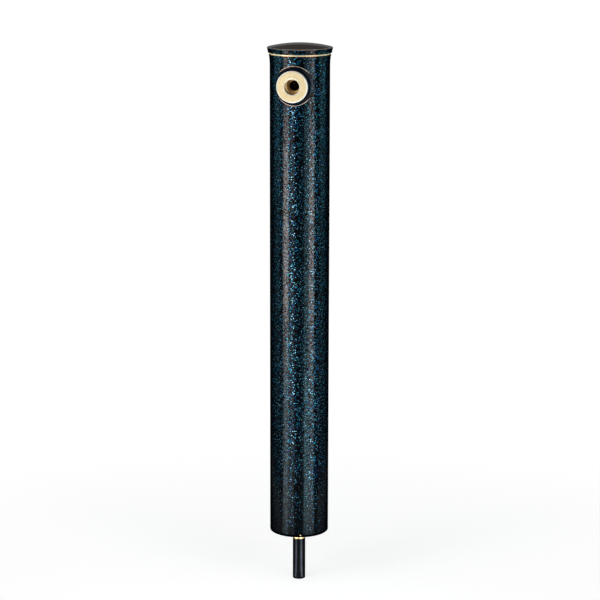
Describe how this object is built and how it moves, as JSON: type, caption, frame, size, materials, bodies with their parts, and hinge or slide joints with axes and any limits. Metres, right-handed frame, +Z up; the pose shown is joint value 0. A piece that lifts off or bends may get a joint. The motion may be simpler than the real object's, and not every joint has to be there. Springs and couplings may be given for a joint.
{
  "type": "garden standpipe",
  "caption": "Planted garden water column: painted steel tube with a flanged half inch tap outlet near the top, a domed lift-off cap and a riser pipe tail at the foot.",
  "frame": {"origin": "centre of the column tube's foot, where the column meets the ground", "axes": "+Z up along the column, -Y out along the tap outlet"},
  "size_m": [0.0832, 0.0926, 0.7071],
  "materials": {
    "column_paint": "gloss navy with blue and teal metal flake",
    "cap_paint": "gloss navy with fine metal flake",
    "polished_brass": "bright turned and lacquered",
    "drawn_brass": "drawn tube",
    "cast_brass": "cast and machined",
    "cast_metal": "cast, zinc plated",
    "black_rubber": "matt",
    "fibre": "pressed fibre sheet",
    "black_coat": "shrunk-on black coat",
    "grey_plastic": "moulded",
    "black_plastic": "moulded",
    "foam": "closed cell foam",
    "zinc_steel": "bright zinc"
  },
  "bodies": {
    "column": {"column_tube": "column_paint", "collar_gasket": "black_rubber", "collar": "column_paint", "flange_washer": "black_rubber", "tap_socket": "polished_brass", "inner_saddle": "cast_metal", "socket_lock_nut": "cast_brass", "elbow_seal": "fibre", "elbow": "cast_brass", "union_seal": "fibre", "union_nut": "cast_brass", "riser_pipe": "drawn_brass", "tail_sleeve": "black_coat", "pipe_spacer_lower": "grey_plastic", "pipe_spacer_upper": "grey_plastic", "pipe_foam": "foam", "base_plug": "grey_plastic", "base_pins": "polished_brass", "base_gland": "cast_brass", "gland_seal": "black_rubber", "gland_nut": "cast_brass"},
    "cap": {"cap_trim_ring": "polished_brass", "top_cap": "cap_paint", "cap_plug": "black_plastic", "cap_o_ring": "black_rubber", "cap_screws": "zinc_steel"}
  },
  "joints": [
    {"name": "cap_lift", "type": "slide", "parent": "column", "child": "cap", "axis": [0, 0, 1], "range_m": [0, 0.045]}
  ]
}
